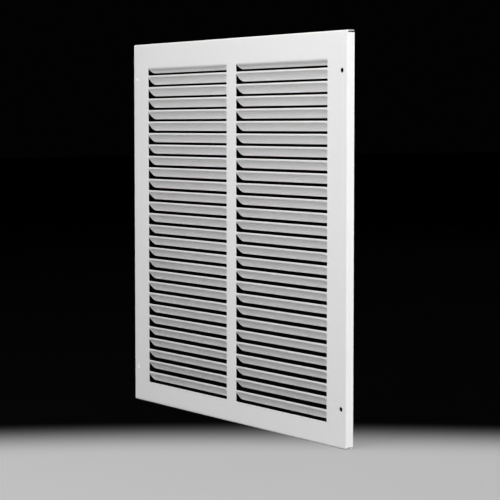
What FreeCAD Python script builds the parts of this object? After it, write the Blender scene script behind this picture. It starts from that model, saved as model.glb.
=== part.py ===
"""Return air vent cover: one sheet of steel, lanced, pressed and folded.

The face is a flat square with its four edges turned back as shallow flanges.
Two columns of louvre blades are lanced out of the face: each blade is cut free
along its bottom edge and both ends, and pressed back about its top edge. The top
row is shorter, with a softer and deeper bend, and the bottom row is bent less.
A mullion of uncut sheet parts the columns, and a thin strip of uncut sheet parts
each blade from the next. Four plain screw holes sit in the side margins.

Frame: millimetres. The front of the face lies in the plane Y = 0 and looks
along -Y, Z is up, and the origin is the middle of the four screw holes.
"""

import FreeCAD, Part
import math
import os
from FreeCAD import Vector

# Sheet and outline
sheet_thickness = 0.6
face_width = 400.05
face_height = 400.05
flange_depth = 8.3
flange_bend_inside_radius = 1.0
corner_slit = 1.7
corner_slit_from_front = 0.8

# Louvre field
louvre_pitch = 12.7
strip_height = 1.3
louvre_columns = 2
mullion_width = 17.5
side_margin = 31.5
least_end_margin = 20.0

# Louvre blades, and where those of the top and bottom rows differ
blade_angle = 42.5
blade_bend_inside_radius = 0.3
blade_corner_radius = 4.0
blade_end_clearance = 0.2
top_row_lowering = 2.2
top_blade_angle = 51.5
top_blade_bend_inside_radius = 2.4
bottom_row_raising = 0.6
bottom_blade_angle = 37.5

# Screw holes
screw_hole_diameter = 4.8
screw_hole_from_side = 8.5
screw_hole_from_end = 38.1

# Slack that lets a cutter run clear of the faces that it goes through
overrun = 1.0

half_width = face_width / 2
half_height = face_height / 2
louvre_rows = int((face_height - 2 * least_end_margin) / louvre_pitch)
field_top = louvre_rows * louvre_pitch / 2
column_width = (
    face_width - 2 * side_margin - (louvre_columns - 1) * mullion_width
) / louvre_columns


def rounded_block(width, depth, height, front, radius):
    """A block centred in X and Z, its front face at Y = front and that face's edges rounded."""
    block = Part.makeBox(width, depth, height, Vector(-width / 2, front, -height / 2))
    front_edges = [
        edge
        for edge in block.Edges
        if all(abs(vertex.Y - front) < sheet_thickness / 10 for vertex in edge.Vertexes)
    ]
    return block.makeFillet(radius, front_edges)


def folded_tray():
    """The face and its four flanges, with the same sheet thickness round every bend."""
    outside_radius = flange_bend_inside_radius + sheet_thickness
    outside = rounded_block(face_width, flange_depth, face_height, 0, outside_radius)
    inside = rounded_block(
        face_width - 2 * sheet_thickness,
        flange_depth,
        face_height - 2 * sheet_thickness,
        sheet_thickness,
        flange_bend_inside_radius,
    )
    return outside.cut(inside)


def corner_slits():
    """Thin cuts that part each side flange from the flanges above and below it."""
    depth = flange_depth - corner_slit_from_front + overrun
    reach = 2 * sheet_thickness + flange_bend_inside_radius
    cutters = []
    for side in (-1, 1):
        for end in (-1, 1):
            near_x = side * (half_width - sheet_thickness - flange_bend_inside_radius)
            far_x = near_x + side * reach
            near_z = end * (half_height - sheet_thickness)
            far_z = near_z - end * corner_slit
            low = Vector(min(near_x, far_x), corner_slit_from_front, min(near_z, far_z))
            cutters.append(Part.makeBox(reach, depth, corner_slit, low))
    return cutters


def column_starts():
    """The left end of each column of louvres."""
    step = column_width + mullion_width
    return [side_margin - half_width + step * column for column in range(louvre_columns)]


def louvres_down():
    """Each row from the top: its bend line's height, its slot's height, and its blade's bend."""
    rows = []
    for row in range(louvre_rows):
        top = field_top - strip_height - louvre_pitch * row
        bottom = field_top - louvre_pitch * (row + 1)
        angle = blade_angle
        inside_radius = blade_bend_inside_radius
        if row == 0:
            top -= top_row_lowering
            angle = top_blade_angle
            inside_radius = top_blade_bend_inside_radius
        if row == louvre_rows - 1:
            bottom += bottom_row_raising
            angle = bottom_blade_angle
        rows.append((top, top - bottom, angle, inside_radius))
    return rows


def slot_cutters():
    """One block for each slot that a blade leaves in the face."""
    depth = sheet_thickness + 2 * overrun
    return [
        Part.makeBox(column_width, depth, height, Vector(left, -overrun, top - height))
        for left in column_starts()
        for top, height, angle, inside_radius in louvres_down()
    ]


def blade(slot_height, angle, inside_radius):
    """A blade whose bend line starts at the origin: an arc back out of the face, then a flat tab.

    Its length along the bend and the tab is the slot's height, because the sheet isn't
    stretched, and its two free corners are rounded.
    """
    turn = math.radians(angle)
    front_radius = inside_radius + sheet_thickness
    middle_radius = inside_radius + sheet_thickness / 2
    tab_length = slot_height - middle_radius * turn

    def on_bend(radius, turned):
        return Vector(0, front_radius - radius * math.cos(turned), -radius * math.sin(turned))

    along_tab = Vector(0, math.sin(turn), -math.cos(turn)) * tab_length
    front_start, back_start = on_bend(front_radius, 0), on_bend(inside_radius, 0)
    front_end, back_end = on_bend(front_radius, turn), on_bend(inside_radius, turn)
    front_tip, back_tip = front_end + along_tab, back_end + along_tab
    outline = Part.Wire(
        [
            Part.Arc(front_start, on_bend(front_radius, turn / 2), front_end).toShape(),
            Part.makeLine(front_end, front_tip),
            Part.makeLine(front_tip, back_tip),
            Part.makeLine(back_tip, back_end),
            Part.Arc(back_end, on_bend(inside_radius, turn / 2), back_start).toShape(),
            Part.makeLine(back_start, front_start),
        ]
    )
    blade_length = column_width - 2 * blade_end_clearance
    square_blade = Part.Face(outline).extrude(Vector(blade_length, 0, 0))
    near_corner = (front_tip + back_tip) / 2
    far_corner = near_corner + Vector(blade_length, 0, 0)
    free_corners = [
        edge
        for edge in square_blade.Edges
        if min((edge.CenterOfMass - corner).Length for corner in (near_corner, far_corner))
        < sheet_thickness / 10
    ]
    return square_blade.makeFillet(blade_corner_radius, free_corners)


def placed_blades():
    """The blade of each row, set in its slot in both columns."""
    blades = []
    for top, height, angle, inside_radius in louvres_down():
        one_blade = blade(height, angle, inside_radius)
        for left in column_starts():
            blades.append(one_blade.translated(Vector(left + blade_end_clearance, 0, top)))
    return blades


def screw_hole_cutters():
    """A cylinder through the face for each of the four screw holes."""
    across = half_width - screw_hole_from_side
    up = half_height - screw_hole_from_end
    return [
        Part.makeCylinder(
            screw_hole_diameter / 2,
            sheet_thickness + 2 * overrun,
            Vector(side * across, -overrun, end * up),
            Vector(0, 1, 0),
        )
        for side in (-1, 1)
        for end in (-1, 1)
    ]


def vent_cover():
    """The whole pressing as one solid."""
    lanced = folded_tray().cut(slot_cutters() + screw_hole_cutters() + corner_slits())
    return lanced.fuse(placed_blades()).Solids[0]


os.makedirs("parts", exist_ok=True)
cover = vent_cover()
print(
    "vent_cover: valid", cover.isValid(), "rows", louvre_rows, "columns", louvre_columns,
    "column width", round(column_width, 2), "volume mm3", round(cover.Volume, 1),
)
cover.exportStep("parts/vent_cover.step")
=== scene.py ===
"""The look of a return air vent cover: one square sheet of steel, lanced, folded and powder coated.

The sections follow the sheet through the press shop: the louvres, the face
around them, the folded edges, the thickness of the steel and the coating.
Lengths are in metres unless a name says otherwise.
"""

import math

import bmesh
import bpy
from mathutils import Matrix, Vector
from mathutils.geometry import delaunay_2d_cdt


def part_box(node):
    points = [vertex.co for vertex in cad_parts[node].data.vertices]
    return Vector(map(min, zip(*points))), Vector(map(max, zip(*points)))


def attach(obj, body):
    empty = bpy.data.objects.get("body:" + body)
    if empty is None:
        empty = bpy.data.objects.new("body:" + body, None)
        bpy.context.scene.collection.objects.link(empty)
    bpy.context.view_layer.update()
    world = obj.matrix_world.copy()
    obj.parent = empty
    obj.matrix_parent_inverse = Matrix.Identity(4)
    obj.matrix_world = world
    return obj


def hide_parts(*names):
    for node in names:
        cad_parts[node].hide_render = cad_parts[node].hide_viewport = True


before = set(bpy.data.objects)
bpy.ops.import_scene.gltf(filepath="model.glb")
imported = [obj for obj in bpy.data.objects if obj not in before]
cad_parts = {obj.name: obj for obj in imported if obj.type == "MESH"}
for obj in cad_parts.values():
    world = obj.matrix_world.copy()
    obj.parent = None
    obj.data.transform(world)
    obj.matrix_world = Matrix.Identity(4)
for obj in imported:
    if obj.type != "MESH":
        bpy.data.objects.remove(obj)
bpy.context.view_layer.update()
lowest, highest = (Vector(corner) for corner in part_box("vent_cover"))
face_width = highest.x - lowest.x
face_height = highest.z - lowest.z
flange_depth = highest.y - lowest.y
face_y = lowest.y
mm = 0.001


# Louvre field
# Two columns of blades, lanced out of the mild steel sheet by a row of press tools. Each
# blade is cut free along its bottom edge and its ends, and pressed back about its top edge.
# Its ends are drawn out of the sheet more gently than its middle, and its corners are round.
sheet_thickness = 0.6 * mm
louvre_pitch = 12.7 * mm
louvre_rows = 28
louvre_columns = 2
strip_height = 1.3 * mm
mullion_width = 17.5 * mm
side_margin = 31.5 * mm
blade_end_clearance = 0.2 * mm
blade_corner_radius = 4.0 * mm
drawn_end_length = 6.0 * mm
blade_kinds = {
    "top": {
        "rows": 1, "slot": 9.2 * mm, "angle": math.radians(55.5), "ease": math.radians(8.0),
        "bend": 3.0 * mm, "drawn bend": 3.4 * mm,
    },
    "middle": {
        "rows": louvre_rows - 2, "slot": 11.4 * mm, "angle": math.radians(46.0),
        "ease": math.radians(7.0), "bend": 0.9 * mm, "drawn bend": 3.2 * mm,
    },
    "bottom": {
        "rows": 1, "slot": 10.8 * mm, "angle": math.radians(41.0), "ease": math.radians(7.0),
        "bend": 0.9 * mm, "drawn bend": 3.2 * mm,
    },
}
own_sizes = ("slot", "angle", "ease", "bend", "drawn bend")
column_width = (face_width - 2 * side_margin - (louvre_columns - 1) * mullion_width) / louvre_columns
column_step = column_width + mullion_width
first_column_middle = lowest.x + side_margin + column_width / 2
field_top = louvre_rows * louvre_pitch / 2
bend_steps = 6
tab_steps = 6
corner_steps = 8
drawn_end_steps = 8
weld_distance = 0.005 * mm


class NodeBench:
    """A node tree being wired up: one method lays down any node, and readings do the sums."""

    def __init__(self, tree):
        self.tree = tree
        self.tree.nodes.clear()

    def lay(self, kind, settings=None, sockets=None):
        """Adds a node, makes its settings first, then sets or links its sockets."""
        node = self.tree.nodes.new(kind)
        for name, value in (settings or {}).items():
            setattr(node, name, value)
        for key, value in (sockets or {}).items():
            socket = node.inputs[key]
            if isinstance(value, Reading):
                value = value.socket
            if isinstance(value, bpy.types.NodeSocket):
                self.tree.links.new(value, socket)
            else:
                socket.default_value = value
        return node

    def reading(self, node, output=0):
        return Reading(self, node.outputs[output])


class Reading:
    """A number inside a node tree. Plain arithmetic on it lays down the Math nodes."""

    def __init__(self, bench, socket):
        self.bench = bench
        self.socket = socket

    def sum(self, operation, *values, clamped=False):
        settings = {"operation": operation, "use_clamp": clamped}
        node = self.bench.lay("ShaderNodeMath", settings, dict(enumerate(values)))
        return Reading(self.bench, node.outputs[0])

    def __add__(self, other):
        return self.sum("ADD", self, other)

    def __radd__(self, other):
        return self.sum("ADD", other, self)

    def __sub__(self, other):
        return self.sum("SUBTRACT", self, other)

    def __rsub__(self, other):
        return self.sum("SUBTRACT", other, self)

    def __mul__(self, other):
        return self.sum("MULTIPLY", self, other)

    def __rmul__(self, other):
        return self.sum("MULTIPLY", other, self)

    def __truediv__(self, other):
        return self.sum("DIVIDE", self, other)

    def __rtruediv__(self, other):
        return self.sum("DIVIDE", other, self)

    def __neg__(self):
        return self.sum("MULTIPLY", self, -1.0)

    def __gt__(self, other):
        return self.sum("GREATER_THAN", self, other)

    def without_sign(self):
        return self.sum("ABSOLUTE", self)

    def sign(self):
        return self.sum("SIGN", self)

    def sine(self):
        return self.sum("SINE", self)

    def cosine(self):
        return self.sum("COSINE", self)

    def arcsine(self):
        return self.sum("ARCSINE", self)

    def from_0_to_1(self):
        return self.sum("ADD", self, 0.0, clamped=True)


def geometry_tree(name, numbers, has_mesh_input=False):
    """An empty geometry tree with a named input for each size."""
    tree = bpy.data.node_groups.new(name, "GeometryNodeTree")
    if has_mesh_input:
        tree.interface.new_socket("Geometry", in_out="INPUT", socket_type="NodeSocketGeometry")
    for number, value in numbers.items():
        whole = isinstance(value, int)
        kind = "NodeSocketInt" if whole else "NodeSocketFloat"
        socket = tree.interface.new_socket(number, in_out="INPUT", socket_type=kind)
        socket.default_value = value
    tree.interface.new_socket("Geometry", in_out="OUTPUT", socket_type="NodeSocketGeometry")
    return tree


def blade_tree():
    """One blade with the strip of uncut sheet above it, worked out from a flat grid.

    The blade's bend line is along X through the origin, and its front faces -Y.
    """
    sizes = {
        "Length": column_width, "Strip": strip_height, "Drawn length": drawn_end_length,
        "Corner": blade_corner_radius, "Clearance": blade_end_clearance, "Thickness": sheet_thickness,
    }
    sizes.update({name.capitalize(): blade_kinds["middle"][name] for name in own_sizes})
    bench = NodeBench(geometry_tree("Louvre blade", sizes))
    given = bench.lay("NodeGroupInput")
    size = {name: bench.reading(given, name) for name in sizes}

    # Rows count down from the top of the strip, and columns outwards from the blade's middle
    bend_row = 1
    tab_row = bend_row + bend_steps
    round_row = tab_row + tab_steps
    rows_down = round_row + corner_steps + 1
    columns_across = 2 * drawn_end_steps + 2
    end_column = drawn_end_steps - 0.5
    grid = bench.lay(
        "GeometryNodeMeshGrid",
        sockets={"Size X": 1.0, "Size Y": 1.0, "Vertices X": columns_across, "Vertices Y": rows_down},
    )
    place = bench.lay("ShaderNodeSeparateXYZ", sockets={0: bench.lay("GeometryNodeInputPosition").outputs[0]})
    across, down = bench.reading(place, "X"), bench.reading(place, "Y")
    column = across.without_sign() * (columns_across - 1)
    row = (down + 0.5) * (rows_down - 1)

    # Beside the blade's ends the sheet is cut away, from the bend line down
    beside_blade = (column > end_column) * (row > bend_row)
    cut = bench.lay(
        "GeometryNodeDeleteGeometry",
        {"domain": "FACE"},
        {"Geometry": grid.outputs["Mesh"], "Selection": beside_blade},
    )

    # The free corners are quarter rounds, and the bend softens with the distance from an end
    inward = ((end_column - column) / (drawn_end_steps - 1)).from_0_to_1()
    on_blade = 1.0 - (column - end_column).from_0_to_1()
    round_turn = ((row - round_row) / corner_steps).from_0_to_1() * (math.pi / 2)
    round_in = size["Corner"] * (1.0 - round_turn.cosine()) + size["Clearance"]
    from_end = on_blade * (round_in + (size["Drawn length"] - round_in) * inward)
    undrawn = (from_end / size["Drawn length"]).from_0_to_1()
    drawn = (1.0 - undrawn) * (1.0 - undrawn) * (1.0 + 2.0 * undrawn)
    radius = size["Bend"] + (size["Drawn bend"] - size["Bend"]) * drawn
    turned = size["Angle"] * ((row - bend_row) / bend_steps).from_0_to_1()

    # Below the bend the blade eases back a little towards upright, evenly along its middle. The
    # sheet isn't stretched there, so the slot's height sets how far down the straight lip lies
    middle_tab = size["Slot"] - (size["Bend"] - size["Thickness"] * 0.5) * size["Angle"]
    ease_rate = size["Ease"] / middle_tab
    hinge_sine, hinge_cosine = size["Angle"].sine(), size["Angle"].cosine()
    lip_sine = (size["Angle"] - size["Ease"]).sine()
    lip_down = size["Bend"] * hinge_sine + (hinge_sine - lip_sine) / ease_rate
    drawn_lip_sine = hinge_sine - ease_rate * (lip_down - radius * hinge_sine)
    tab = (size["Angle"] - drawn_lip_sine.arcsine()) / ease_rate
    along_tab = (
        (tab - size["Corner"]) * ((row - tab_row) / tab_steps).from_0_to_1()
        + size["Corner"] * round_turn.sine()
    )
    leaning = size["Angle"] - ease_rate * along_tab

    x = across.sign() * (from_end - size["Length"] * 0.5)
    y = radius * (1.0 - turned.cosine()) + (leaning.cosine() - hinge_cosine) / ease_rate
    strip_up = size["Strip"] * (bend_row - row).from_0_to_1()
    z = strip_up - radius * turned.sine() - (hinge_sine - leaning.sine()) / ease_rate
    formed = bench.lay("ShaderNodeCombineXYZ", sockets={"X": x, "Y": y, "Z": z})
    placed = bench.lay(
        "GeometryNodeSetPosition",
        sockets={"Geometry": cut.outputs["Geometry"], "Position": formed.outputs[0]},
    )
    bench.lay("NodeGroupOutput", sockets={"Geometry": placed.outputs["Geometry"]})
    return bench.tree


def bend_line_up(size, kind):
    """How far the bend line of a kind of blade is above the bottom of its share of the pitch."""
    if kind == "top":
        return size["top slot"]
    return size["Pitch"] - size["Strip"]


def louvre_field_tree(blade, coating):
    """Every blade of both columns: a blade of each kind, set out on its rows."""
    sizes = {
        "Columns": louvre_columns, "Column step": column_step, "Column middle": first_column_middle,
        "Column width": column_width, "Pitch": louvre_pitch, "Field top": field_top,
        "Strip": strip_height, "Drawn length": drawn_end_length,
        "Corner": blade_corner_radius, "Clearance": blade_end_clearance, "Thickness": sheet_thickness,
    }
    for kind, facts in blade_kinds.items():
        sizes.update({f"{kind} {name}": value for name, value in facts.items()})
    bench = NodeBench(geometry_tree("Louvre field", sizes, has_mesh_input=True))
    given = bench.lay("NodeGroupInput")
    size = {name: bench.reading(given, name) for name in sizes}

    all_blades = bench.lay("GeometryNodeJoinGeometry")
    rows_above = 0.0
    for kind in blade_kinds:
        blade_sizes = {name.capitalize(): size[f"{kind} {name}"] for name in own_sizes}
        blade_sizes["Length"] = size["Column width"]
        for shared in ("Strip", "Drawn length", "Corner", "Clearance", "Thickness"):
            blade_sizes[shared] = size[shared]
        one_blade = bench.lay("GeometryNodeGroup", {"node_tree": blade}, blade_sizes)

        # Each row has one pitch of the sheet, and the top row's bend line is lower in its share
        share_bottom = size["Field top"] - size["Pitch"] * (rows_above + 1.0)
        start = bench.lay(
            "ShaderNodeCombineXYZ",
            sockets={"X": size["Column middle"], "Y": face_y, "Z": share_bottom + bend_line_up(size, kind)},
        )
        down = bench.lay("ShaderNodeCombineXYZ", sockets={"Z": -size["Pitch"]})
        sideways = bench.lay("ShaderNodeCombineXYZ", sockets={"X": size["Column step"]})
        column = bench.lay(
            "GeometryNodeMeshLine",
            sockets={
                "Count": size[f"{kind} rows"], "Start Location": start.outputs[0], "Offset": down.outputs[0],
            },
        )
        columns = bench.lay(
            "GeometryNodeMeshLine",
            sockets={"Count": size["Columns"], "Offset": sideways.outputs[0]},
        )
        column_points = bench.lay(
            "GeometryNodeInstanceOnPoints",
            sockets={"Points": columns.outputs["Mesh"], "Instance": column.outputs["Mesh"]},
        )
        all_points = bench.lay("GeometryNodeRealizeInstances", sockets={0: column_points.outputs[0]})
        blades = bench.lay(
            "GeometryNodeInstanceOnPoints",
            sockets={"Points": all_points.outputs[0], "Instance": one_blade.outputs[0]},
        )
        bench.tree.links.new(blades.outputs[0], all_blades.inputs[0])
        rows_above = size[f"{kind} rows"] + rows_above
    real = bench.lay("GeometryNodeRealizeInstances", sockets={0: all_blades.outputs[0]})
    coated = bench.lay(
        "GeometryNodeSetMaterial", sockets={"Geometry": real.outputs[0], "Material": coating}
    )
    bench.lay("NodeGroupOutput", sockets={"Geometry": coated.outputs[0]})
    return bench.tree


def give_modifier_sizes(modifier, values):
    """Sets a geometry modifier's inputs by the identifier of each named socket."""
    for item in modifier.node_group.interface.items_tree:
        if item.in_out == "INPUT" and item.name in values:
            modifier[item.identifier] = values[item.name]


coating = bpy.data.materials.new("satin_white_powder_coat")
louvre_mesh = bpy.data.meshes.new("louvre_start")
louvre_maker = bpy.data.objects.new("louvre_maker", louvre_mesh)
bpy.context.scene.collection.objects.link(louvre_maker)
louvre_press = louvre_maker.modifiers.new("louvre press", "NODES")
louvre_press.node_group = louvre_field_tree(blade_tree(), coating)
give_modifier_sizes(louvre_press, {"Pitch": louvre_pitch, "Column width": column_width})
bpy.context.view_layer.update()
evaluated = louvre_maker.evaluated_get(bpy.context.evaluated_depsgraph_get())
louvre_field = bpy.data.meshes.new_from_object(evaluated)
bpy.data.objects.remove(louvre_maker)


# Face
# The flat front of the sheet: the margins and the mullion left between the two columns.
# The same steel as the blades, with four plain holes punched through for the wall screws.
outside_bend_radius = 1.6 * mm
screw_hole_radius = 2.4 * mm
screw_hole_from_side = 8.5 * mm
screw_hole_from_end = 38.1 * mm
screw_hole_steps = 40
meeting_distance = 0.0001 * mm
corner_slit_from_end = 2.3 * mm
flat_half_width = face_width / 2 - outside_bend_radius
flat_half_height = face_height / 2 - outside_bend_radius
side_flange_half = face_height / 2 - corner_slit_from_end
last_slot_bottom = (
    field_top - louvre_rows * louvre_pitch
    + (louvre_pitch - strip_height - blade_kinds["bottom"]["slot"])
)
column_middles = [first_column_middle + column_step * column for column in range(louvre_columns)]
strip_top = max(point.co.z for point in louvre_field.vertices)
hole_middles = [
    Vector((side * (face_width / 2 - screw_hole_from_side), end * (face_height / 2 - screw_hole_from_end)))
    for side in (-1, 1)
    for end in (-1, 1)
]


def column_outline(middle):
    """The edge of one column's opening, through every louvre point that lies on it."""
    left, right = middle - column_width / 2, middle + column_width / 2
    on_edge = {"left": [], "top": [], "right": []}
    for point in louvre_field.vertices:
        at = Vector((point.co.x, point.co.z))
        if abs(point.co.y - face_y) > weld_distance:
            continue
        if abs(at.x - left) < weld_distance:
            on_edge["left"].append(at)
        elif abs(at.x - right) < weld_distance:
            on_edge["right"].append(at)
        elif abs(at.y - strip_top) < weld_distance and left < at.x < right:
            on_edge["top"].append(at)
    bottom_left, bottom_right = Vector((left, last_slot_bottom)), Vector((right, last_slot_bottom))
    return (
        [bottom_left]
        + sorted(on_edge["left"], key=lambda at: at.y)
        + sorted(on_edge["top"], key=lambda at: at.x)
        + sorted(on_edge["right"], key=lambda at: -at.y)
        + [bottom_right]
    )


def hole_outline(middle):
    """The round edge of one screw hole."""
    turns = [2 * math.pi * step / screw_hole_steps for step in range(screw_hole_steps)]
    return [middle + screw_hole_radius * Vector((math.cos(turn), math.sin(turn))) for turn in turns]


def is_open(at):
    """Whether a place on the face lies in a screw hole or in a column of louvres."""
    in_column = last_slot_bottom < at.y < strip_top and any(
        abs(at.x - middle) < column_width / 2 for middle in column_middles
    )
    return in_column or any((at - middle).length < screw_hole_radius for middle in hole_middles)


face_outline = [
    Vector((flat_half_width, -side_flange_half)),
    Vector((flat_half_width, side_flange_half)),
    Vector((flat_half_width, flat_half_height)),
    Vector((-flat_half_width, flat_half_height)),
    Vector((-flat_half_width, side_flange_half)),
    Vector((-flat_half_width, -side_flange_half)),
    Vector((-flat_half_width, -flat_half_height)),
    Vector((flat_half_width, -flat_half_height)),
]
outlines = [face_outline]
outlines += [column_outline(middle) for middle in column_middles]
outlines += [hole_outline(middle) for middle in hole_middles]
outline_points = []
outline_edges = []
for outline in outlines:
    first = len(outline_points)
    outline_points += outline
    outline_edges += [(first + step, first + (step + 1) % len(outline)) for step in range(len(outline))]
triangles_inside = 1
flat_points, _, triangles, _, _, _ = delaunay_2d_cdt(
    outline_points, outline_edges, [], triangles_inside, meeting_distance
)

sheet = bmesh.new()
sheet.from_mesh(louvre_field)
face_points = [sheet.verts.new((at.x, face_y, at.y)) for at in flat_points]
for corners in triangles:
    if is_open(sum((flat_points[corner] for corner in corners), Vector((0, 0))) / len(corners)):
        continue
    flat = sheet.faces.new([face_points[corner] for corner in corners])
    flat.normal_update()
    if flat.normal.y > 0:
        flat.normal_flip()


# Folded edges
# All four sides of the sheet are folded back square in a brake, to stand the face off the
# wall. The sheet is drawn round each corner, and a thin slit parts the side fold there.
fold_steps = 9
round_corner_steps = 9
slit_corner_steps = 5
slit_fold_steps = 6


def edge_path():
    """The fold line round the face, as (x, z, way out), with a fan of ways at each corner."""
    path = []
    for quarter, (side, end) in enumerate([(1, 1), (-1, 1), (-1, -1), (1, -1)]):
        corner = (side * flat_half_width, end * flat_half_height)
        fan = [
            (*corner, math.pi / 2 * (quarter + step / round_corner_steps))
            for step in range(round_corner_steps + 1)
        ]
        side_end = (side * flat_half_width, end * side_flange_half)
        if side == end:
            path.append((*side_end, math.pi / 2 * quarter))
        path += fan
        if side != end:
            path.append((*side_end, math.pi / 2 * (quarter + 1)))
    return path


def is_slit(step):
    """Whether the step of the path that starts at this point crosses a corner slit."""
    points_to_a_corner = round_corner_steps + 2
    at_corner, corner = step % points_to_a_corner, step // points_to_a_corner
    if corner % 2 == 0:
        return at_corner <= slit_corner_steps
    return round_corner_steps - slit_corner_steps <= at_corner <= round_corner_steps


def fold_ring(turn, straight_back):
    """The points round the sheet where the fold has turned this far, or straight behind it."""
    reach = outside_bend_radius * math.sin(turn)
    back = outside_bend_radius * (1 - math.cos(turn)) + straight_back
    return [
        sheet.verts.new((x + reach * math.cos(way), face_y + back, z + reach * math.sin(way)))
        for x, z, way in edge_path()
    ]


rings = [fold_ring(math.pi / 2 * step / fold_steps, 0) for step in range(fold_steps + 1)]
rings.append(fold_ring(math.pi / 2, flange_depth - outside_bend_radius))
for strip, (inner, outer) in enumerate(zip(rings, rings[1:])):
    for step in range(len(inner)):
        if strip >= slit_fold_steps and is_slit(step):
            continue
        following = (step + 1) % len(inner)
        sheet.faces.new([inner[step], outer[step], outer[following], inner[following]])
bmesh.ops.remove_doubles(sheet, verts=sheet.verts, dist=weld_distance)
bmesh.ops.dissolve_degenerate(sheet, edges=sheet.edges, dist=weld_distance)


# Thickness of the steel
# The sheet is cold rolled mild steel, one gauge all over. The presses leave its cut edges
# square, and the coating that is baked on later rounds them a little.
coated_edge_radius = 0.09 * mm
coated_edge_steps = 2
cut_edge_angle = math.radians(60.0)
for part in sheet.faces:
    part.smooth = True
outer_skin = bpy.data.meshes.new("outer_skin")
sheet.to_mesh(outer_skin)
sheet.free()
outer_skin.materials.clear()
outer_skin.materials.append(coating)
pressing = bpy.data.objects.new("pressing", outer_skin)
bpy.context.scene.collection.objects.link(pressing)
gauge = pressing.modifiers.new("gauge", "SOLIDIFY")
gauge.thickness = sheet_thickness
gauge.offset = -1.0
gauge.use_quality_normals = True
soft_edges = pressing.modifiers.new("soft edges", "BEVEL")
soft_edges.width = coated_edge_radius
soft_edges.segments = coated_edge_steps
soft_edges.limit_method = "ANGLE"
soft_edges.angle_limit = cut_edge_angle
shading = pressing.modifiers.new("shading", "WEIGHTED_NORMAL")
shading.mode = "FACE_AREA"
shading.weight = 100
bpy.context.view_layer.update()
finished = pressing.evaluated_get(bpy.context.evaluated_depsgraph_get())
cover_mesh = bpy.data.meshes.new_from_object(finished)
bpy.data.objects.remove(pressing)
cover_mesh.name = "louvred_sheet"
cover = bpy.data.objects.new("louvred_sheet", cover_mesh)
bpy.context.scene.collection.objects.link(cover)


# Powder coat
# Satin white polyester powder, sprayed on after pressing and baked. It covers the whole sheet,
# lies a touch unevenly, and has the faint orange peel that baked powder always has.
coat_colour = 0.80
coat_roughness = 0.42
coat_reflection_index = 1.5
cloud_scale = 14.0
cloud_contrast = 1.2
cloud_in_colour = 0.015
cloud_in_roughness = 0.08
peel_scale = 620.0
peel_height = 0.02 * mm
peel_strength = 0.35
coating.use_nodes = True
bench = NodeBench(coating.node_tree)
where = bench.lay("ShaderNodeTexCoord").outputs["Object"]
peel = bench.lay(
    "ShaderNodeTexNoise", sockets={"Vector": where, "Scale": peel_scale, "Detail": 2.0, "Roughness": 0.5}
)
drift = bench.lay("ShaderNodeTexNoise", sockets={"Vector": where, "Scale": cloud_scale, "Detail": 3.0})
cloud = bench.reading(drift, "Fac") - 0.5
shade = bench.lay(
    "ShaderNodeMix",
    {"data_type": "RGBA"},
    {
        "Factor": (cloud * cloud_contrast + 0.5).from_0_to_1(),
        "A": (coat_colour * (1.0 - cloud_in_colour),) * 3 + (1.0,),
        "B": (coat_colour * (1.0 + cloud_in_colour),) * 3 + (1.0,),
    },
)
bumps = bench.lay(
    "ShaderNodeBump",
    sockets={"Strength": peel_strength, "Distance": peel_height, "Height": bench.reading(peel, "Fac")},
)
coat = bench.lay(
    "ShaderNodeBsdfPrincipled",
    sockets={
        "Base Color": shade.outputs["Result"],
        "Roughness": coat_roughness + cloud * cloud_in_roughness,
        "Normal": bumps.outputs[0],
        "IOR": coat_reflection_index,
    },
)
bench.lay("ShaderNodeOutputMaterial", sockets={"Surface": coat.outputs[0]})

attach(cover, "root")
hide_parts("vent_cover")


# Studio
# A plain floor with a painted pool of light: pale in front of the cover, and painted dark behind it as
# painted shade, so that the openings read dark.
# Two small soft lamps stand close in front of the cover, and large ones around and above it.
floor_size = 30.0
# The pale, glowing part of the floor is a painted pool of light, and the dark part beyond it is painted
# shade.
painted_pool_colour = 0.12
painted_pool_glow = 0.36
floor_roughness = 0.9
painted_pool_reach = 1.68
painted_pool_end = 1.90
painted_shade_colour = 0.0015
air_light = 0.01
air_dark = painted_shade_colour * 0.5
camera_place = (1.5788, -1.0339, 0.1086)


def looked_at(bench):
    """1 for a ray that shows the floor or the air, 0 for one that only takes light from them."""
    ray = bench.lay("ShaderNodeLightPath")
    shows = bench.reading(ray, "Is Camera Ray") + bench.reading(ray, "Is Glossy Ray")
    return (shows + bench.reading(ray, "Is Transmission Ray")).from_0_to_1()


floor_mesh = bpy.data.meshes.new("studio_floor")
half = floor_size / 2
floor_mesh.from_pydata(
    [(-half, -half, lowest.z), (half, -half, lowest.z), (half, half, lowest.z), (-half, half, lowest.z)],
    [],
    [(0, 1, 2, 3)],
)
floor = bpy.data.objects.new("studio_floor", floor_mesh)
bpy.context.scene.collection.objects.link(floor)
floor_paint = bpy.data.materials.new("studio_floor")
floor_paint.use_nodes = True
bench = NodeBench(floor_paint.node_tree)
below_camera = (*camera_place[:2], lowest.z)
where = bench.lay("ShaderNodeTexCoord").outputs["Object"]
away = bench.lay("ShaderNodeVectorMath", {"operation": "DISTANCE"}, {0: where, 1: below_camera})
fade = bench.lay(
    "ShaderNodeMapRange",
    {"interpolation_type": "SMOOTHERSTEP"},
    {
        "Value": away.outputs["Value"], "From Min": painted_pool_reach, "From Max": painted_pool_end,
        "To Min": 1.0, "To Max": 0.0,
    },
)
# The pool of light is painted: pale and glowing within reach of the place below the camera, and fading to
# painted shade beyond it.
in_painted_pool = bench.reading(fade) * looked_at(bench)
paint_sockets = {"Emission Strength": 1.0, "Roughness": floor_roughness, "Specular IOR Level": 0.0}
for socket, dark, pale in [("Base Color", painted_shade_colour, painted_pool_colour), ("Emission Color", 0.0, painted_pool_glow)]:
    mixed = bench.lay(
        "ShaderNodeMix",
        {"data_type": "RGBA"},
        {"Factor": in_painted_pool, "A": (dark,) * 3 + (1.0,), "B": (pale,) * 3 + (1.0,)},
    )
    paint_sockets[socket] = mixed.outputs["Result"]
paint = bench.lay("ShaderNodeBsdfPrincipled", sockets=paint_sockets)
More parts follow.
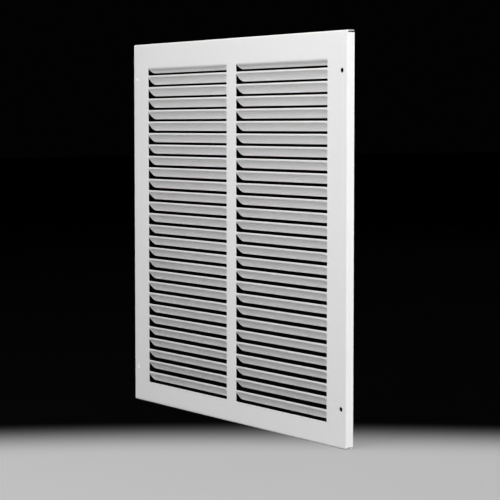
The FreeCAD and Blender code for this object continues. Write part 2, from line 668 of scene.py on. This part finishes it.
bench.lay("ShaderNodeOutputMaterial", sockets={"Surface": paint.outputs[0]})
floor_mesh.materials.append(floor_paint)

world = bpy.data.worlds.new("studio")
world.use_nodes = True
bpy.context.scene.world = world
bench = NodeBench(world.node_tree)
air = bench.lay(
    "ShaderNodeMix",
    {"data_type": "RGBA"},
    {"Factor": looked_at(bench), "A": (air_light,) * 3 + (1.0,), "B": (air_dark,) * 3 + (1.0,)},
)
background = bench.lay("ShaderNodeBackground", sockets={"Color": air.outputs["Result"], "Strength": 1.0})
bench.lay("ShaderNodeOutputWorld", sockets={"Surface": background.outputs[0]})


def softbox(name, place, size, power):
    """A square soft lamp that faces the middle of the cover."""
    light = bpy.data.lights.new(name, "AREA")
    light.shape = "SQUARE"
    light.size = size
    light.energy = power
    lamp = bpy.data.objects.new(name, light)
    lamp.location = place
    lamp.rotation_euler = (-Vector(place)).to_track_quat("-Z", "Y").to_euler()
    bpy.context.scene.collection.objects.link(lamp)


softbox("key", (0.3, -1.0, 0.5), 0.5, 6.4)
softbox("fill", (0.6, -1.0, 0.15), 0.5, 3.2)
softbox("left", (-1.2, -2.2, 1.2), 1.2, 24.0)
softbox("side", (3.0, 0.3, 0.42), 1.2, 34.0)
softbox("far side", (2.6, 1.3, 0.45), 1.2, 41.0)
softbox("overhead", (0.3, -0.3, 2.2), 1.0, 26.0)
softbox("rear", (-1.2, 2.6, 1.4), 1.6, 24.0)


# Camera
# It stands to the right of the cover, a little above its middle, and looks slightly down.
# Its long lens keeps the upright edges nearly parallel, and the whole cover in the frame.
camera_turn = 56.19
camera_dip = 3.88
focal_pixels = 1817.2
photo_pixels = 500
lens = bpy.data.cameras.new("camera")
lens.sensor_width = 36.0
lens.lens = focal_pixels / photo_pixels * lens.sensor_width
camera = bpy.data.objects.new("camera", lens)
camera.location = camera_place
camera.rotation_euler = (math.radians(90 - camera_dip), 0, math.radians(camera_turn))
bpy.context.scene.collection.objects.link(camera)
bpy.context.scene.camera = camera
bpy.context.scene.view_settings.view_transform = "Standard"
